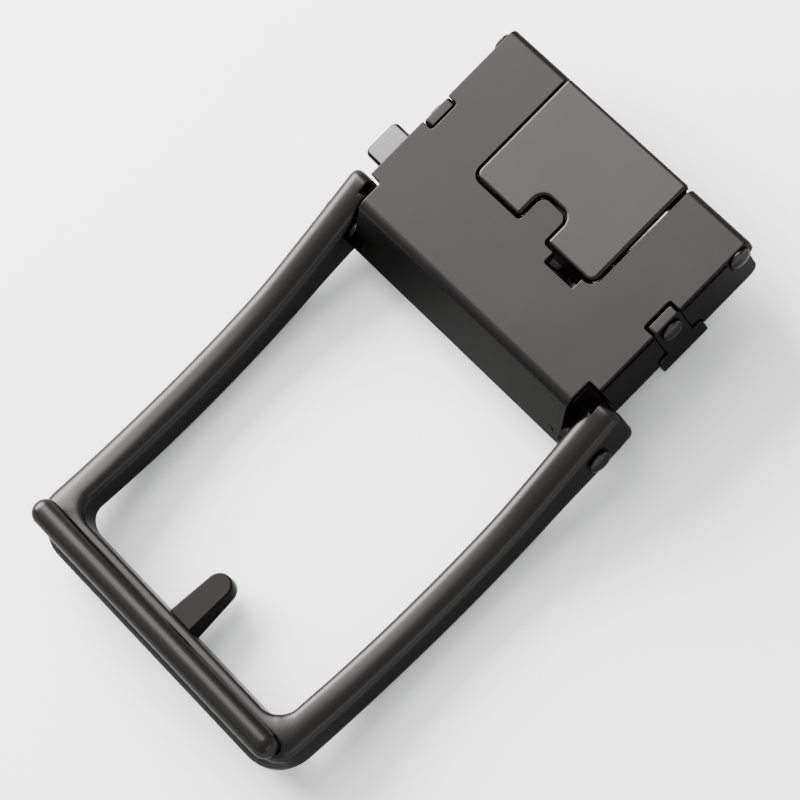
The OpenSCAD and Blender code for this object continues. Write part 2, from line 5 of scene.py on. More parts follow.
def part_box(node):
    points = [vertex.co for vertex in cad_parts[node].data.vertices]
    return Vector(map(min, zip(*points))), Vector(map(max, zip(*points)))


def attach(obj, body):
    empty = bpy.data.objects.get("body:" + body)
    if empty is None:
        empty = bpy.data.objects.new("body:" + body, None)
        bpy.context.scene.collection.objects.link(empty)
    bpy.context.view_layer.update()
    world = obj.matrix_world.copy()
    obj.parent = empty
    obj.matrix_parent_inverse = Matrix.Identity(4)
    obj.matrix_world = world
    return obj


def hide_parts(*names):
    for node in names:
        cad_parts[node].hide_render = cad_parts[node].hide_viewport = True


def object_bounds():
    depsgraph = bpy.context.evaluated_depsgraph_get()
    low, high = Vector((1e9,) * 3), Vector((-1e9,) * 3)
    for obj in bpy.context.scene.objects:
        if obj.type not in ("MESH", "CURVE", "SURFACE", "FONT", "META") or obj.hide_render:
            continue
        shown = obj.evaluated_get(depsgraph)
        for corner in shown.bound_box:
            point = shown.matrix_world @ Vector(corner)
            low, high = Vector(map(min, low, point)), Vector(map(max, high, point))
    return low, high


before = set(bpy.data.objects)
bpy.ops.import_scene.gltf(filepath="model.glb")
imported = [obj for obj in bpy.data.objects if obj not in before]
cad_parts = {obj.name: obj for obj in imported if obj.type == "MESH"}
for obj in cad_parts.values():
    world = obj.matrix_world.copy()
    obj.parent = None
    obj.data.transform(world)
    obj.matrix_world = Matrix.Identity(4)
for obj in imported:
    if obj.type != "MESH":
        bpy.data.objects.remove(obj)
start_bounds = [list(v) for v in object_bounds()]
MM = 0.001


# ---------------------------------------------------------------- mesh tools
def coat(obj, finish):
    """Gives an object one finish all over."""
    obj.data.materials.clear()
    obj.data.materials.append(finish)


def apply_modifiers(obj):
    """Gives an object the mesh that its modifiers make."""
    graph = bpy.context.evaluated_depsgraph_get()
    source = obj.evaluated_get(graph)
    mesh = bpy.data.meshes.new_from_object(source, preserve_all_data_layers=True, depsgraph=graph)
    obj.modifiers.clear()
    obj.data = mesh


def finish_mesh(name, bm, body, finish, node, bevel=0.0, segments=3, weighted=True):
    """Turns a bmesh in millimetres into a piece that rides on a body and stands for a node."""
    bmesh.ops.remove_doubles(bm, verts=bm.verts, dist=1e-4)
    bmesh.ops.recalc_face_normals(bm, faces=bm.faces)
    bmesh.ops.scale(bm, vec=(MM, MM, MM), verts=bm.verts)
    mesh = bpy.data.meshes.new(name)
    bm.to_mesh(mesh)
    bm.free()
    for face in mesh.polygons:
        face.use_smooth = True
    piece = bpy.data.objects.new(name, mesh)
    bpy.context.scene.collection.objects.link(piece)
    if bevel:
        edges = piece.modifiers.new("round edges", "BEVEL")
        edges.width, edges.segments = bevel * MM, segments
        edges.limit_method, edges.angle_limit = "ANGLE", math.radians(33)
        edges.harden_normals, edges.miter_outer = False, "MITER_ARC"
        edges.use_clamp_overlap = False
    if weighted:
        shading = piece.modifiers.new("flat faces first", "WEIGHTED_NORMAL")
        shading.keep_sharp, shading.weight = True, 60
    apply_modifiers(piece)
    coat(piece, finish)
    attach(piece, body)
    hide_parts(node)
    return piece


def arc(cx, cy, r, start, end, n=8):
    """Points on a circle round (cx, cy), from start to end degrees."""
    turns = [math.radians(start + (end - start) * i / n) for i in range(n + 1)]
    return [(cx + r * math.cos(t), cy + r * math.sin(t)) for t in turns]


def inset(points, depth):
    """A closed anticlockwise outline moved inwards by depth, corner by corner."""
    moved, n = [], len(points)
    for i in range(n):
        before, here, after = Vector(points[i - 1]), Vector(points[i]), Vector(points[(i + 1) % n])
        a, b = (here - before).normalized(), (after - here).normalized()
        corner = Vector((-a.y, a.x)) + Vector((-b.y, b.x))
        corner = corner / max(corner.length_squared / 2, 0.3)
        moved.append((here.x + corner.x * depth, here.y + corner.y * depth))
    return moved


def skin(bm, rings, caps=True):
    """Joins rings of equally many points with faces, and caps the ends."""
    made = [[bm.verts.new(p) for p in ring] for ring in rings]
    n = len(made[0])
    for a, b in zip(made, made[1:]):
        for i in range(n):
            j = (i + 1) % n
            bm.faces.new((a[i], a[j], b[j], b[i]))
    if caps:
        bm.faces.new(made[0][::-1])
        bm.faces.new(made[-1])
    return made


def prism_x(bm, outline, x0, x1):
    """A run along X of an outline in the Y-Z plane."""
    skin(bm, [[(x, y, z) for y, z in outline] for x in (x0, x1)])


def prism_z(bm, outline, z0, z1):
    """A run along Z of an outline in the X-Y plane."""
    skin(bm, [[(x, y, z) for x, y in outline] for z in (z0, z1)])


def block(bm, x0, x1, y0, y1, z0, z1):
    """A square-edged block between two corners."""
    prism_z(bm, [(x0, y0), (x1, y0), (x1, y1), (x0, y1)], z0, z1)


def plate(bm, outline, z0, z1, top, bottom, steps):
    """A plate on an anticlockwise outline; top and bottom are the radii of its rounded edges."""
    turns = [math.radians(90 * i / steps) for i in range(steps + 1)]
    levels = [(bottom * (1 - math.sin(a)), z0 + bottom * (1 - math.cos(a))) for a in turns]
    levels += [(top * (1 - math.cos(a)), z1 - top * (1 - math.sin(a))) for a in turns]
    skin(bm, [[(x, y, z) for x, y in inset(outline, depth)] for depth, z in levels])


def turned(bm, profile, centre, axis, n=48):
    """A turned solid; profile is (distance along the axis, radius) pairs that start and end on the axis."""
    axis, centre = Vector(axis).normalized(), Vector(centre)
    side = axis.orthogonal().normalized()
    up = axis.cross(side)
    turns = [2 * math.pi * k / n for k in range(n)]
    spokes = [side * math.cos(t) + up * math.sin(t) for t in turns]
    rings = [[centre + axis * along + spoke * r for spoke in spokes] for along, r in profile[1:-1]]
    made = skin(bm, rings, caps=False)
    for along, ring, turn_back in ((profile[0][0], made[0], True), (profile[-1][0], made[-1], False)):
        tip = bm.verts.new(centre + axis * along)
        for i in range(n):
            corners = [ring[i], ring[(i + 1) % n], tip]
            bm.faces.new(corners[::-1] if turn_back else corners)


def solid(build, *sizes):
    """A new bmesh, filled by one of the functions above."""
    bm = bmesh.new()
    build(bm, *sizes)
    return bm


def boolean(target, tool, operation="DIFFERENCE"):
    """Cuts one bmesh with another, or joins them, and returns the result."""
    pair = []
    for bm in (target, tool):
        bmesh.ops.recalc_face_normals(bm, faces=bm.faces)
        mesh = bpy.data.meshes.new("rough")
        bm.to_mesh(mesh)
        bm.free()
        obj = bpy.data.objects.new("rough", mesh)
        bpy.context.scene.collection.objects.link(obj)
        pair.append(obj)
    cut = pair[0].modifiers.new("cut", "BOOLEAN")
    cut.operation, cut.object, cut.solver = operation, pair[1], "EXACT"
    apply_modifiers(pair[0])
    result = bmesh.new()
    result.from_mesh(pair[0].data)
    for obj in pair:
        bpy.data.objects.remove(obj)
    return result


# ---------------------------------------------------------------- shader tools
class Value:
    """A shader socket that can be used in sums; plain numbers become the node's own value."""

    def __init__(self, finish, socket):
        self.finish, self.socket = finish, socket

    def _op(self, operation, a, b):
        node = self.finish.make("ShaderNodeMath", {"operation": operation}, {0: a, 1: b})
        return Value(self.finish, node.outputs[0])

    def __add__(self, other):
        return self._op("ADD", self, other)

    def __radd__(self, other):
        return self._op("ADD", other, self)

    def __sub__(self, other):
        return self._op("SUBTRACT", self, other)

    def __rsub__(self, other):
        return self._op("SUBTRACT", other, self)

    def __mul__(self, other):
        return self._op("MULTIPLY", self, other)

    def __rmul__(self, other):
        return self._op("MULTIPLY", other, self)

    def __truediv__(self, other):
        return self._op("DIVIDE", self, other)

    def __rtruediv__(self, other):
        return self._op("DIVIDE", other, self)

    def clamp(self):
        return self._op("MINIMUM", self._op("MAXIMUM", self, 0.0), 1.0)

    def above(self, low, high):
        """A mask that rises from 0 at low to 1 at high."""
        return ((self - low) / (high - low)).clamp()


class Finish:
    """One material: makes nodes by type, settings and sockets."""

    def __init__(self, name):
        self.material = bpy.data.materials.new(name)
        self.material.use_nodes = True
        tree = self.material.node_tree
        self.nodes, self.links = tree.nodes, tree.links
        self.shader = self.nodes["Principled BSDF"]
        self.place = self.make("ShaderNodeTexCoord").outputs["Object"]

    def plug(self, target, value):
        """Links a value or socket to an input, or sets the input's own number or colour."""
        if isinstance(value, Value):
            value = value.socket
        if isinstance(value, bpy.types.NodeSocket):
            self.links.new(value, target)
        else:
            target.default_value = value

    def make(self, kind, settings=None, sockets=None):
        node = self.nodes.new(kind)
        for name, setting in (settings or {}).items():
            setattr(node, name, setting)
        for name, value in (sockets or {}).items():
            self.plug(node.inputs[name], value)
        return node

    def set(self, **values):
        """Sets or links the shader's own sockets, named in small letters."""
        for name, value in values.items():
            self.plug(self.shader.inputs[name.replace("_", " ").title().replace("Ior", "IOR")], value)

    def noise(self, scale, detail, stretch=(1, 1, 1), seed=0.0):
        shift = (seed, seed * 0.7, -seed)
        mapped = self.make("ShaderNodeMapping", None,
                           {"Vector": self.place, "Location": shift, "Scale": stretch})
        node = self.make("ShaderNodeTexNoise", None,
                         {"Vector": mapped.outputs[0], "Scale": scale, "Detail": detail})
        return Value(self, node.outputs[0])

    def cells(self, scale, seed):
        mapped = self.make("ShaderNodeMapping", None, {"Vector": self.place, "Location": (seed, seed, seed)})
        node = self.make("ShaderNodeTexVoronoi", None, {"Vector": mapped.outputs[0], "Scale": scale})
        return Value(self, node.outputs[0])

    def part(self, vector, axis):
        """One coordinate of a vector socket."""
        split = self.make("ShaderNodeSeparateXYZ", None, {0: vector})
        return Value(self, split.outputs[axis])

    def facing_up(self):
        return self.part(self.make("ShaderNodeNewGeometry").outputs["Normal"], "Z")

    def mix(self, amount, a, b):
        node = self.make("ShaderNodeMix", {"data_type": "RGBA"}, {0: amount, 6: a, 7: b})
        return node.outputs[2]

    def bumps(self, *layers):
        """Stacks bumps; each layer is a height, its depth in millimetres and a strength."""
        normal = None
        for height, depth, strength in layers:
            sockets = {"Height": height, "Distance": depth * MM, "Strength": strength}
            if normal is not None:
                sockets["Normal"] = normal
            normal = self.make("ShaderNodeBump", None, sockets).outputs[0]
        self.set(normal=normal)


def grey(v, warm=0.0):
    """A grey of brightness v, a little warmer or cooler."""
    return (v * (1 + warm), v, v * (1 - warm), 1.0)


def black_plate(name, tone, rough, seed):
    """Satin black plate on a casting or stamping, with faint hairlines; side and downward faces are painted
    darker than tops, as shade.
    """
    f = Finish(name)
    cloud, grain = f.noise(120, 3, seed=seed), f.noise(2600, 2, seed=seed + 7)
    smear, hairs = f.noise(420, 5, (1, 0.35, 1), seed + 3), f.noise(900, 3, (1, 0.04, 1), seed + 11)
    worn = hairs.above(0.62, 0.8) * smear.above(0.5, 0.7) * 0.12
    base = f.mix(cloud.above(0.3, 0.7), grey(tone * 0.97, 0.03), grey(tone * 1.03, 0.045))
    # painted shade: faces that are not turned up are mixed towards a grey at four tenths of the tone
    painted_side_shade = 1.0 - f.facing_up().above(0.3, 0.95)
    base = f.mix(painted_side_shade * 0.7, base, grey(tone * 0.4))
    uneven = smear.above(0.4, 0.75) * 0.02 + cloud * 0.02 + hairs.above(0.6, 0.8) * 0.04
    f.set(base_color=f.mix(worn, base, grey(tone * 2.2, 0.02)), metallic=1.0,
          roughness=(rough + uneven).clamp(), specular_tint=grey(0.55))
    f.bumps((cloud, 0.004, 0.3), (hairs, 0.002, 0.2), (grain, 0.0015, 0.2))
    return f.material


def blasted(name, tone, wall):
    """Fine blasted button face with smoother side faces; those side faces and the strip inside the side wall
    are painted near-black as shade.
    """
    f = Finish(name)
    speck, pits = f.noise(5200, 3, seed=2), f.cells(4200, 4)
    outside = f.part(f.place, "X").above(-(wall - 1.5) * MM, -(wall - 0.7) * MM)
    up = f.facing_up().above(0.95, 0.995) * outside
    face = f.mix(speck.above(0.3, 0.7), grey(tone * 0.85), grey(tone * 1.12))
    # painted shade: everything but the button's up-facing face outside the wall takes the near-black grey
    f.set(base_color=f.mix(up, grey(0.004, 0.02), face), metallic=1.0,
          roughness=(0.24 + up * 0.28 + speck * 0.06).clamp())
    f.bumps((speck * up, 0.012, 0.6), (pits * up, 0.006, 0.4))
    return f.material


def plain_steel(name, tone, stretch, rough, seed):
    """Rolled or drawn steel with its grain along one axis."""
    f = Finish(name)
    line, mottle = f.noise(1400, 4, stretch, seed), f.noise(150, 4, seed=seed + 2)
    stain = f.noise(60, 5, seed=seed + 9).above(0.55, 0.75)
    base = f.mix(line, grey(tone * 0.82, 0.02), grey(tone * 1.12, 0.01))
    f.set(base_color=f.mix(stain * 0.4, base, grey(tone * 0.55, 0.06)), metallic=1.0,
          roughness=(rough + line * 0.08 + mottle * 0.08).clamp())
    f.bumps((line, 0.006, 0.5), (mottle, 0.02, 0.2))
    return f.material


# ---------------------------------------------------------------- sizes, in millimetres
X, Y, Z = range(3)


def lowest(node, axis):
    """Where a node begins along an axis, to a hundredth of a millimetre."""
    return round(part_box(node)[0][axis] / MM, 2)


def highest(node, axis):
    """Where a node ends along an axis."""
    return round(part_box(node)[1][axis] / MM, 2)


def middle_of(node, axis):
    """The middle of a node along an axis."""
    return round((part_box(node)[0][axis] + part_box(node)[1][axis]) / 2 / MM, 2)


def span(side, near, far):
    """The stretch along X between two distances from the middle, on side -1 or 1, lowest first."""
    return sorted((side * near, side * far))


HAIR = 0.002  # keeps the faces of two joined solids out of one plane
ABOVE = 12  # cuts run up to here, clear of everything
PIN_HEAD = 0.7  # height of every domed head

# pressed cover
WALL_OUT, WALL_FOOT = highest("housing_cover", X), lowest("housing_cover", Z)
TOP = highest("housing_cover", Z)
WALL_IN, UNDER = WALL_OUT - 1.2, TOP - 0.8
NECK_OUT = WALL_OUT - 1.66
NECK_IN = NECK_OUT - 1.2
APRON_RUN, APRON_DROP, FOLD = 3.8, 6.4, 1.6
APRON_END, APRON_FOOT = lowest("housing_cover", Y), TOP - APRON_DROP
NEAR, LIP = APRON_END + APRON_RUN, highest("housing_cover", Y)
STEP, WALL_END = NEAR + 3.3, LIP - 0.7
APRON_SLOPE = math.degrees(math.atan2(APRON_DROP, APRON_RUN))
FOLD_Y = NEAR + FOLD * math.tan(math.radians(APRON_SLOPE / 2))

# lever, pins and slide
HINGE_Y, HINGE_Z, ROLL = middle_of("lever_hinge_pin", Y), middle_of("lever_hinge_pin", Z), 1.5
LEVER_TOP, LEVER_NEAR = highest("clamp_lever", Z), lowest("clamp_lever", Y)
LEVER_HALF, LEVER_GAP = highest("clamp_lever", X), 0.4
SHAFT_Z, SLIDE_Z = middle_of("jaw_shaft", Z), lowest("latch_slide", Z)
PIVOT_Y, PIVOT_Z = middle_of("pivot_rivet_right", Y), middle_of("pivot_rivet_right", Z)

# hinged frame: bowed arms, crossbar and guard bar
ARM_IN, ARM_W, ARM_H, ARM_ROUND = 18.19, 4.05, 4.9, 0.95
LOW_Y, BOW, SPLAY = -38.5, 120.0, math.tan(math.radians(0.55))
BAR_OUT, BAR_DEPTH, BAR_FOOT, BAR_TOP, BAR_ROUND = lowest("frame", Y), 5.0, 1.3, 6.3, 0.55
BAR_IN = BAR_OUT + BAR_DEPTH
TAIL_END, TAIL_TOP = highest("frame", Y), highest("frame", Z)
GUARD_Y, GUARD_Z, GUARD_HALF = middle_of("guard_bar", Y), middle_of("guard_bar", Z), highest("guard_bar", X)
GUARD_R = highest("guard_bar", Z) - GUARD_Z

cover_plate = black_plate("cover plate", 0.018, 0.34, 1)
lever_plate = black_plate("lever plate", 0.024, 0.33, 21)
frame_plate = black_plate("frame plate", 0.024, 0.32, 41)
peg_plate = black_plate("peg plate", 0.009, 0.28, 91)
loop_plate = black_plate("keeper plate", 0.019, 0.3, 61)
pin_plate = black_plate("pin plate", 0.035, 0.24, 81)
button_face = blasted("blasted button", 0.1, WALL_OUT)
jaw_steel = plain_steel("jaw steel", 0.16, (0.06, 1, 1), 0.3, 1)
strip_steel = plain_steel("strip steel", 0.2, (0.08, 1, 1), 0.32, 11)
spring_steel = plain_steel("spring steel", 0.3, (1, 0.06, 1), 0.22, 21)
turned_steel = plain_steel("turned steel", 0.25, (1, 1, 0.06), 0.28, 31)


# ---------------------------------------------------------------- box
def lever_outline(grow, far):
    """Plan of the lever with its finger notch, anticlockwise; grow makes the window round it."""
    half, near = LEVER_HALF + grow, LEVER_NEAR - grow
    notch_half, notch_end = 2.45 - grow, LEVER_NEAR + 3.8 - grow
    corner_r, notch_r, lip_r = 0.9 + grow, 1.5 - grow, 0.45
    outline = arc(-half + corner_r, near + corner_r, corner_r, 180, 270)
    outline += arc(-notch_half - lip_r, near + lip_r, lip_r, 270, 360, 5)
    outline += arc(-notch_half + notch_r, notch_end - notch_r, notch_r, 180, 90)
    outline += arc(notch_half - notch_r, notch_end - notch_r, notch_r, 90, 0)
    outline += arc(notch_half + lip_r, near + lip_r, lip_r, 180, 270, 5)
    outline += arc(half - corner_r, near + corner_r, corner_r, 270, 360)
    return outline + [(half, far), (-half, far)]


def back_section():
    """Section of the cover in Y-Z: apron, fold, flat back and rolled far edge, then back along the inside."""
    r, roll_y, roll_z = 0.9, HINGE_Y - ROLL, HINGE_Z - ROLL
    section = [(APRON_END, APRON_FOOT)] + arc(FOLD_Y, TOP - FOLD, FOLD, 90 + APRON_SLOPE, 90)
    section += arc(LIP - r, TOP - r, r, 90, 0)
    section += arc(LIP - r, roll_z + r, r, 0, -90)
    section += arc(roll_y + r, roll_z + r, r, -90, -180)
    section += [(roll_y, UNDER), (NEAR + 0.6, UNDER)]
    return section + [(APRON_END + 1.1, APRON_FOOT - 0.1), (APRON_END + 0.5, APRON_FOOT - 0.5)]


def wall_outline():
    """Side wall in Y-Z, with its lower far corner rounded."""
    r = 1.4
    outline = [(STEP, WALL_FOOT)] + arc(WALL_END - r, WALL_FOOT + r, r, 270, 360) + [(WALL_END, HINGE_Z)]
    return outline + arc(LIP - 1.1, TOP - 1.11, 1.09, 40, 90, 5) + [(STEP, TOP - 0.01)]


def neck_outline():
    """Wall of the narrower neck in Y-Z, under the apron and its fold."""
    outline = [(APRON_END + 0.02, APRON_FOOT - 0.01), (APRON_END + 0.5, APRON_FOOT - 0.5)]
    outline += [(APRON_END + 1.2, WALL_FOOT), (STEP + 1, WALL_FOOT), (STEP + 1, TOP - 0.02)]
    return outline + arc(FOLD_Y, TOP - FOLD, FOLD - 0.02, 90, 90 + APRON_SLOPE)


def lug_notch(side):
    """Notch in the cover's back over a keeper lug, with rounded inner corners."""
    r, half, inside, outside = 0.5, 2, WALL_IN - 0.35, 21
    outline = [(outside, -half), (outside, half)] + arc(inside + r, half - r, r, 90, 180, 5)
    outline += arc(inside + r, -half + r, r, 180, 270, 5)
    return solid(prism_z, [(side * x, y) for x, y in outline][::side], UNDER - 1, ABOVE)


def lug_opening(side):
    """Opening in a side wall for the keeper's lug, wider at its foot with rounded shoulders."""
    foot_half, half, r = 3.4, 2.0, 0.9
    shoulder = WALL_FOOT + 0.9
    outline = [(-foot_half, -2), (foot_half, -2), (foot_half, shoulder)]
    outline += arc(foot_half - r, shoulder, r, 0, 80, 5) + [(half, shoulder + 0.95), (half, ABOVE)]
    outline += [(-half, ABOVE), (-half, shoulder + 0.95)] + arc(-foot_half + r, shoulder, r, 100, 180, 5)
    return solid(prism_x, outline, *span(side, WALL_IN - 0.3, 21))


def cover():
    """Pressed cover: flat back, side walls, a narrower neck with its apron, and the rolled far edge."""
    body, beside_neck = solid(prism_x, back_section(), -WALL_OUT, WALL_OUT), bmesh.new()
    for side in (-1, 1):
        block(beside_neck, *span(side, NECK_OUT, WALL_OUT + 1), -30, STEP, -5, 20)
    body = boolean(body, beside_neck)
    for side in (-1, 1):
        wall = solid(prism_x, wall_outline(), *span(side, WALL_IN, WALL_OUT - HAIR))
        body = boolean(body, wall, "UNION")
        neck = solid(prism_x, neck_outline(), *span(side, NECK_IN, NECK_OUT - HAIR))
        body = boolean(body, neck, "UNION")
        step = solid(block, *span(side, NECK_IN, WALL_OUT - 2 * HAIR), STEP + HAIR, STEP + 1.1,
                     WALL_FOOT + HAIR, TOP - 0.4)
        body = boolean(body, step, "UNION")
    window = LEVER_HALF + LEVER_GAP
    cuts = [solid(prism_z, lever_outline(LEVER_GAP, HINGE_Y), UNDER - 0.4, ABOVE),
            # gap in the rolled edge
            solid(block, -window, window, HINGE_Y - ROLL - LEVER_GAP, 14, 0, ABOVE),
            # slot of the catch blade
            solid(block, 3.7, 8.3, -4.2, LEVER_NEAR - LEVER_GAP + 0.1, UNDER - 0.8, ABOVE),
            # way through the side wall for the button
            solid(block, -25, -WALL_IN + 0.05, -9.1, -3.8, SLIDE_Z - 0.2, SLIDE_Z + 1.3)]
    for side in (-1, 1):
        cuts += [lug_notch(side), lug_opening(side)]
    for cut in cuts:
        body = boolean(body, cut)
    boss = [(0, 0), (0, 1.45), (0.8, 1.45), (0.9, 1.3), (0.9, 0)]
    for side in (-1, 1):
        # pressed boss for the pivot rivet, inside the neck
        turned(body, boss, (side * (NECK_IN + 0.05), PIVOT_Y, PIVOT_Z), (-side, 0, 0), 32)
    finish_mesh("housing_cover_shell", body, "box", cover_plate, "housing_cover", bevel=0.16)


def lever():
    """Clamp lever: raised plate curled round its hinge pin, with a rib that bears on the jaw."""
    far, r, foot = LIP - 0.05, 0.55, UNDER + 0.1
    section = [(LEVER_NEAR - 1, LEVER_TOP), (LEVER_NEAR - 1, foot), (HINGE_Y - ROLL, foot)]
    section += arc(HINGE_Y, HINGE_Z, ROLL, 180, 380, 36) + [(far - r, foot + 0.02)]
    section += arc(far - r, foot + r, r, 270, 360, 6)[1:] + arc(far - r, LEVER_TOP - r, r, 0, 90)
    body = solid(prism_x, section, -LEVER_HALF - 1, LEVER_HALF + 1)
    body = boolean(body, solid(prism_z, lever_outline(0.12, 20), 0, 20), "INTERSECT")
    bore = [(0, 0), (0, 0.76), (30, 0.76), (30, 0)]
    body = boolean(body, solid(turned, bore, (-15, HINGE_Y, HINGE_Z), (1, 0, 0), 40))
    body = boolean(body, solid(block, -8.4, 8.4, 1.9, 2.9, SHAFT_Z + 0.3, UNDER + 0.3), "UNION")
    finish_mesh("lever_plate_body", body, "lever", lever_plate, "clamp_lever",
                bevel=0.42, segments=5)


def keeper():
    """U-shaped band under the strap, with a lug in each side wall."""
    r, half, lug_half, fillet = 0.5, highest("keeper_loop", Y), 1.95, 0.2
    top, foot = TOP - 0.2, WALL_FOOT + 0.75
    tab = [(-half, 0), (half, 0)] + arc(half - r, foot - r, r, 0, 90, 6)
    tab += [(lug_half + fillet, foot), (lug_half, foot + fillet)]
    tab += arc(lug_half - r, top - r, r, 0, 90, 6) + arc(-lug_half + r, top - r, r, 90, 180, 6)
    tab += [(-lug_half, foot + fillet), (-lug_half - fillet, foot)] + arc(-half + r, foot - r, r, 90, 180, 6)
    body = solid(block, -WALL_OUT, WALL_OUT, -half, half, 0, 1.1)
    for side in (-1, 1):
        body = boolean(body, solid(prism_x, tab, *span(side, WALL_OUT - 1.3, WALL_OUT)), "UNION")
    # the band's bends, rounded along Y
    bend = arc(WALL_OUT - r, r, r, 270, 360)
    outline = [(-x, z) for x, z in reversed(bend)] + bend + [(WALL_OUT, 20), (-WALL_OUT, 20)]
    rounded = solid(skin, [[(x, y, z) for x, z in outline] for y in (10, -10)])
    body = boolean(body, rounded, "INTERSECT")
    finish_mesh("keeper_loop_band", body, "box", loop_plate, "keeper_loop", bevel=0.16)


def domed_head(seat, shank, r, rim, lead):
    """Profile of a domed head, seat to crown; rim is its straight edge and lead that edge's corner."""
    dome = [(seat + rim + (PIN_HEAD - rim) * math.sin(math.radians(a)), r * math.cos(math.radians(a)))
            for a in range(0, 90, 9)]
    return [(seat, shank), (seat, r - 0.08), (seat + lead, r - 0.02)] + dome + [(seat + PIN_HEAD, 0)]


def headed_pin(name, node, y, z, r):
    """A through pin with a domed head formed at each end."""
    right = domed_head(WALL_OUT + 0.03, r, 1.4, 0.17, 0.04)
    left = [(-along, q) for along, q in reversed(right)]
    body = solid(turned, left + right, (0, y, z), (1, 0, 0))
    finish_mesh(name, body, "box", pin_plate, node)


def pivot_rivet(side, name, node):
    """Rivet through the arm and the neck wall; the domed head is outside."""
    r, end = 1.0, NECK_IN - 0.8
    profile = [(end, 0), (end, r - 0.1), (end + 0.1, r)]
    profile += domed_head(ARM_IN + ARM_W + 0.12, r, 1.5, 0.18, 0.05)
    body = solid(turned, profile, (0, PIVOT_Y, PIVOT_Z), (side, 0, 0))
    finish_mesh(name, body, "box", pin_plate, node)


def slide():
    """Latch slide: side button, strip with two long holes and the upright catch blade."""
    foot, top = SLIDE_Z, SLIDE_Z + 1.1
    out, near, r = lowest("latch_slide", X), lowest("latch_slide", Y), 0.8
    far = near + 5.0
    button = arc(out + r, near + r, r, 180, 270, 7) + [(-16.4, near), (-16.4, far)]
    button += arc(out + r, far - r, r, 90, 180, 7)
    body = solid(plate, button, foot, top, 0.5, 0.25, 6)
    body = boolean(body, solid(block, -17.4, 6.5, -8.4, -3.3, foot + HAIR, top - HAIR), "UNION")
    hole_r, hole_run = 0.92, 2.8
    for x in (-10.9, 0.1):
        hole = arc(x, -6, hole_r, -90, 90, 10) + arc(x - hole_run, -6, hole_r, 90, 270, 10)
        body = boolean(body, solid(prism_z, hole, foot - 1, top + 1))
    blade = [(3.9, -4.0), (5.5, -4.0), (5.5, -3.1), (3.9, -3.1)]
    body = boolean(body, solid(plate, blade, foot + 0.3, TOP - 0.35, 0.15, 0.02, 3), "UNION")
    finish_mesh("latch_slide_strip", body, "latch", button_face, "latch_slide")


# ---------------------------------------------------------------- frame
def frame_ring(inner, outer, foot, top, foot_r, ledge, shoulder, power):
    """Section of the frame between an inner and an outer point of its plan; ledge steps the outer side,
    shoulder and power shape the domed top."""
    (xi, yi), (xo, yo) = inner, outer
    w, h = math.hypot(xo - xi, yo - yi), top - foot
    section = arc(foot_r, foot_r, foot_r, 180, 270, 5) + arc(w - foot_r, foot_r, foot_r, 270, 360, 5)
    # the ledge's edge, as shares of its depth and of the section's height
    for share, up in ((0, 0.32), (0.12, 0.36), (0.3, 0.38), (0.34, 0.5), (0.7, 0.54), (1, 0.56)):
        section.append((w - ledge * share, h * up))
    half, n = (w - ledge) / 2, 28
    for k in range(n + 1):
        c, s = math.cos(math.pi * k / n), math.sin(math.pi * k / n)
        across = half + half * math.copysign(abs(c) ** (2 / power), c)
        section.append((across, h - shoulder + shoulder * max(s, 0) ** (2 / power)))
    return [(xi + (xo - xi) * u / w, yi + (yo - yi) * u / w, foot + v) for u, v in section]


def ease(t):
    """Runs smoothly from 0 to 1 as t does, and stays at both ends."""
    t = min(1, max(0, t))
    return t * t * (3 - 2 * t)


def bow_at(y):
    """Height of the bowed arm's middle line."""
    rise = PIVOT_Z + math.sqrt(BOW ** 2 - (PIVOT_Y - LOW_Y) ** 2)
    return rise - math.sqrt(BOW ** 2 - (y - LOW_Y) ** 2)


def splay_at(y):
    """How far the arm leans in from its place at the pivot."""
    return (PIVOT_Y - y) * SPLAY


TAIL_ROUND = 1.2
TAIL_START = TAIL_END - TAIL_ROUND


def arm_top(y):
    """Top line of the arm: it follows the bow and then rises to the tail."""
    bowed, tail = bow_at(y) + ARM_H / 2, TAIL_TOP + (y - TAIL_START) * 0.233
    return (bowed + tail + math.sqrt((bowed - tail) ** 2 + 0.4 * 0.4)) / 2


def arm_foot(y):
    """Lower line of the arm, a millimetre deeper at the tail."""
    return bow_at(y) - ARM_H / 2 - ease((y + 24) / 14)


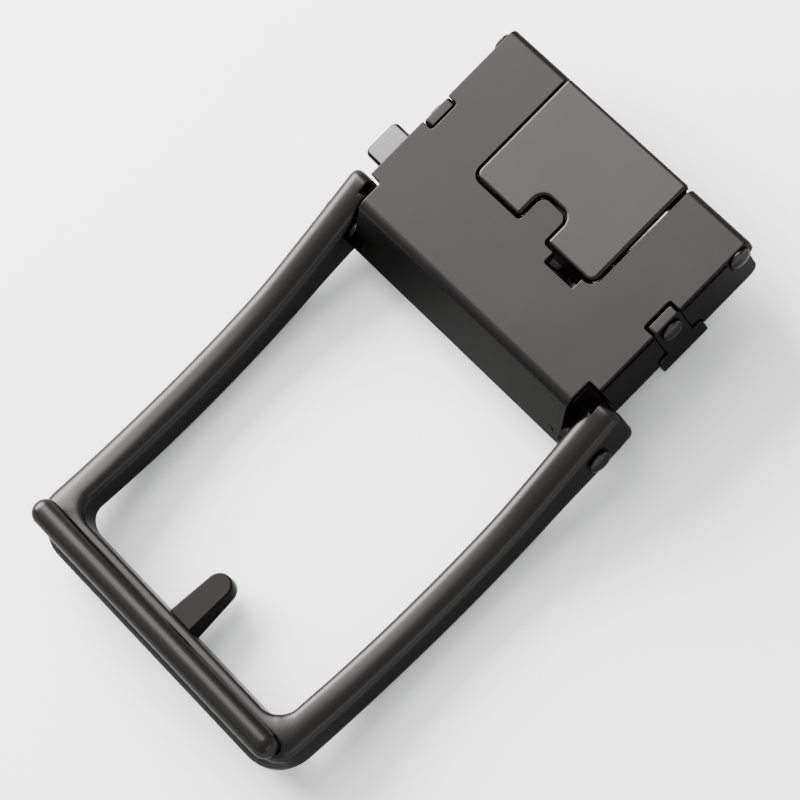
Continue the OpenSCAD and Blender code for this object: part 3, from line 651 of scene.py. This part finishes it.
def half_frame():
    """Rings of the right half, from the arm's tail round the corner to the middle of the crossbar."""
    rings, crown, square = [], 1.75, 2.5
    for i in range(13):
        a = math.radians(90 - 90 * i / 12)
        y, cut = TAIL_START + TAIL_ROUND * math.sin(a), TAIL_ROUND * (1 - math.cos(a))
        thin = 0.6 * (1 - math.sqrt(max(0, 1 - math.sin(a) ** 4)))
        rings.append(frame_ring((ARM_IN - splay_at(y) + thin, y), (ARM_IN + ARM_W - splay_at(y) - thin, y),
                                arm_foot(TAIL_START) + cut, arm_top(TAIL_START) - cut,
                                ARM_ROUND, 0, crown, square))
    inner_r, outer_r, n = 2.6, 4.9, 60
    end = BAR_IN + inner_r
    for i in range(1, n + 1):
        # the outer side runs ahead of the inner one towards the corner
        y = TAIL_START + (end - TAIL_START) * i / n
        lead = (end - BAR_OUT - outer_r) * ease((-44 - y) / (-44 - end))
        between = y - lead / 2
        rings.append(frame_ring((ARM_IN - splay_at(y), y), (ARM_IN + ARM_W - splay_at(y), y - lead),
                                arm_foot(between), arm_top(between), ARM_ROUND, 0, crown, square))
    # the corner's inner and outer arcs, along which the arm's section turns into the crossbar's
    inside, ledge, bar_crown, bar_square = ARM_IN - splay_at(end), 0.8, 0.65, 3.0
    outside = ARM_IN + ARM_W - splay_at(end)
    inner_edge = arc(inside - inner_r, BAR_IN + inner_r, inner_r, 0, -90, 20)
    outer_edge = arc(outside - outer_r, BAR_OUT + outer_r, outer_r, 0, -90, 20)
    path = list(zip(inner_edge, outer_edge))[1:]
    for k, (inner, outer) in enumerate(path):
        t = (k + 1) / len(path)
        e, y = ease(t), max((inner[1] + outer[1]) / 2, -61.5)
        rings.append(frame_ring(inner, outer, arm_foot(y) + (BAR_FOOT - arm_foot(y)) * e,
                                arm_top(y) + (BAR_TOP - arm_top(y)) * e,
                                ARM_ROUND + (BAR_ROUND - ARM_ROUND) * e, ledge * ease((t - 0.25) / 0.6),
                                crown + (bar_crown - crown) * e, square + (bar_square - square) * e))
    n = 12
    for k in range(1, n + 1):
        left = 1 - k / n
        rings.append(frame_ring((inner_edge[-1][0] * left, BAR_IN), (outer_edge[-1][0] * left, BAR_OUT),
                                BAR_FOOT, BAR_TOP, BAR_ROUND, ledge, bar_crown, bar_square))
    return rings


def buckle_frame():
    """Cast frame: both halves in one skin, with the guard bar's seat and the pivot bores."""
    right = half_frame()
    left = [[(-x, y, z) for x, y, z in ring] for ring in reversed(right[:-1])]
    body = solid(skin, right + left)
    seat_half, seat_r = GUARD_HALF - 0.5, GUARD_R + 0.01
    seat = [(-seat_half, 0), (-seat_half, seat_r), (seat_half, seat_r), (seat_half, 0)]
    body = boolean(body, solid(turned, seat, (0, GUARD_Y, GUARD_Z), (1, 0, 0), 72))
    bore = [(0, 0), (0, 1.06), (8, 1.06), (8, 0)]
    ring = [(0, 0), (0, 4.85), (6, 4.85), (6, 0)]
    for side in (-1, 1):
        body = boolean(body, solid(turned, bore, (side * (ARM_IN - 2), PIVOT_Y, PIVOT_Z), (side, 0, 0), 40))
        # the tail is relieved on its inner side, so that it swings clear of the box
        relief = solid(block, *span(side, 16, 19.45), PIVOT_Y, -8, -3, 14)
        kept = solid(turned, ring, (side * 15, PIVOT_Y, PIVOT_Z), (side, 0, 0), 64)
        body = boolean(body, boolean(relief, kept))
    finish_mesh("frame_casting", body, "hinged_frame", frame_plate, "frame", weighted=False)


def guard_bar():
    """Round bar with domed ends, lying in its seat along the crossbar."""
    n = 12
    turns = [math.radians(90 * i / n) for i in range(n)]
    dome = [(GUARD_HALF - GUARD_R + GUARD_R * math.sin(a), GUARD_R * math.cos(a)) for a in turns]
    shank = [(x * 1.5, GUARD_R) for x in range(-12, 13)]
    profile = [(-GUARD_HALF, 0)] + [(-along, r) for along, r in reversed(dome)]
    profile += shank + dome + [(GUARD_HALF, 0)]
    body = solid(turned, profile, (0, GUARD_Y, GUARD_Z), (1, 0, 0), 72)
    finish_mesh("guard_bar_rod", body, "hinged_frame", frame_plate, "guard_bar")


def hook_peg():
    """Flat peg out of the crossbar's inner face, narrower and thinner towards its round tip."""
    half, tip_half, tip, root = highest("hook_peg", X), 1.6, BAR_IN + 7.2, BAR_IN - 0.27
    foot, top, tip_foot, tip_top = BAR_FOOT - 0.7, BAR_FOOT + 2.5, BAR_FOOT - 0.5, BAR_FOOT + 1.45
    run, n = tip - tip_half - BAR_IN, 12
    right = [(half + (tip_half - half) * k / n, BAR_IN + run * k / n) for k in range(n)]
    outline = [(-half, root), (half, root)] + right + arc(0, tip - tip_half, tip_half, 0, 180, 24)
    outline += [(-x, y) for x, y in reversed(right)]
    body = solid(plate, outline, 0, 1, 0.24, 0.24, 4)
    for v in body.verts:
        y, z = v.co.yz
        share = min(1, max(0, (y - BAR_IN) / (tip + 0.5 - BAR_IN)))
        low, high = foot + (tip_foot - foot) * share, top + (tip_top - top) * share
        # the rounding keeps its own height; only the straight part between stretches
        v.co.z = low + z if z < 0.3 else high - (1 - z) if z > 0.7 else low + (high - low) * z
    finish_mesh("hook_peg_body", body, "hinged_frame", peg_plate, "hook_peg")


for make_piece in (cover, lever, keeper, slide, buckle_frame, guard_bar, hook_peg):
    make_piece()
headed_pin("jaw_shaft_pin", "jaw_shaft", 0, SHAFT_Z, 0.65)
headed_pin("lever_hinge_rod", "lever_hinge_pin", HINGE_Y, HINGE_Z, 0.7)
pivot_rivet(-1, "pivot_rivet_left_head", "pivot_rivet_left")
pivot_rivet(1, "pivot_rivet_right_head", "pivot_rivet_right")

# pieces shown as built, with their own finishes
KEPT_NODES = {"clamp_jaw": jaw_steel, "jaw_spring": spring_steel, "latch_spring": spring_steel,
              "spring_stud": turned_steel, "guide_studs": turned_steel, "latch_bracket": strip_steel,
              "pivot_washer_left": loop_plate, "pivot_washer_right": loop_plate,
              "bar_dowel_left": turned_steel, "bar_dowel_right": turned_steel, "peg_dowel": turned_steel}
for node, finish in KEPT_NODES.items():
    coat(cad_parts[node], finish)


# ---------------------------------------------------------------- floor, light and camera
def table():
    """Plain white floor just under the lowest point."""
    n, width, ground = 24, 3.0, start_bounds[0][Z] - 0.00002
    steps = [(i / n - 0.5) * width for i in range(n + 1)]
    bm = bmesh.new()
    grid = [[bm.verts.new((x, y, ground)) for y in steps] for x in steps]
    for i in range(n):
        for j in range(n):
            bm.faces.new((grid[i][j], grid[i + 1][j], grid[i + 1][j + 1], grid[i][j + 1]))
    mesh = bpy.data.meshes.new("table")
    bm.to_mesh(mesh)
    bm.free()
    top = bpy.data.objects.new("table", mesh)
    bpy.context.scene.collection.objects.link(top)
    paper = Finish("white card")
    paper.set(base_color=paper.mix(paper.noise(40, 3), grey(0.88), grey(0.9)), roughness=0.9,
              specular_ior_level=0.1)
    coat(top, paper.material)


def sky():
    """Even studio light from all round."""
    world = bpy.data.worlds.new("studio")
    world.use_nodes = True
    light = world.node_tree.nodes["Background"]
    light.inputs["Color"].default_value = (0.93, 0.94, 0.96, 1)
    light.inputs["Strength"].default_value = 1.2
    bpy.context.scene.world = world


def lamp(name, offset, size, power):
    """A softbox that shines at the buckle's middle, from an offset in metres."""
    data = bpy.data.lights.new(name, "AREA")
    data.shape, data.energy = "RECTANGLE", power
    data.size, data.size_y = size
    obj = bpy.data.objects.new(name, data)
    bpy.context.scene.collection.objects.link(obj)
    obj.location = Vector((0.0, -0.025, 0.005)) + Vector(offset)
    obj.rotation_mode = "QUATERNION"
    obj.rotation_quaternion = Vector(offset).to_track_quat("Z", "Y")


def camera():
    """Long lens, tilted and rolled so that the buckle lies across the picture."""
    azimuth, tilt, roll = math.radians(89.06), math.radians(24.8), math.radians(-44.53)
    aim, distance = Vector((0.00113, -0.02596, 0.0057)), 0.45
    flat = math.sin(tilt)
    back = Vector((math.sin(azimuth) * flat, -math.cos(azimuth) * flat, math.cos(tilt)))
    level = Vector((math.cos(azimuth), math.sin(azimuth), 0))
    rise = back.cross(level)
    right = level * math.cos(roll) + rise * math.sin(roll)
    up = rise * math.cos(roll) - level * math.sin(roll)
    data = bpy.data.cameras.new("camera")
    data.lens, data.sensor_width = 183.6, 36.0
    data.clip_start, data.clip_end = 0.01, 10.0
    obj = bpy.data.objects.new("camera", data)
    bpy.context.scene.collection.objects.link(obj)
    turn = Matrix((right, up, back)).transposed().to_4x4()
    obj.matrix_world = Matrix.Translation(aim + back * distance) @ turn
    bpy.context.scene.camera = obj


table()
sky()
lamp("ceiling softbox", (-0.24, 0.12, 0.40), (0.30, 0.30), 2.4)
lamp("side softbox", (-0.48, 0.02, 0.24), (0.50, 0.26), 20.0)
lamp("far strip", (0.42, 0.00, 0.16), (0.40, 0.12), 0.5)
lamp("front strip", (-0.05, -0.40, 0.30), (0.34, 0.08), 0.1)
camera()
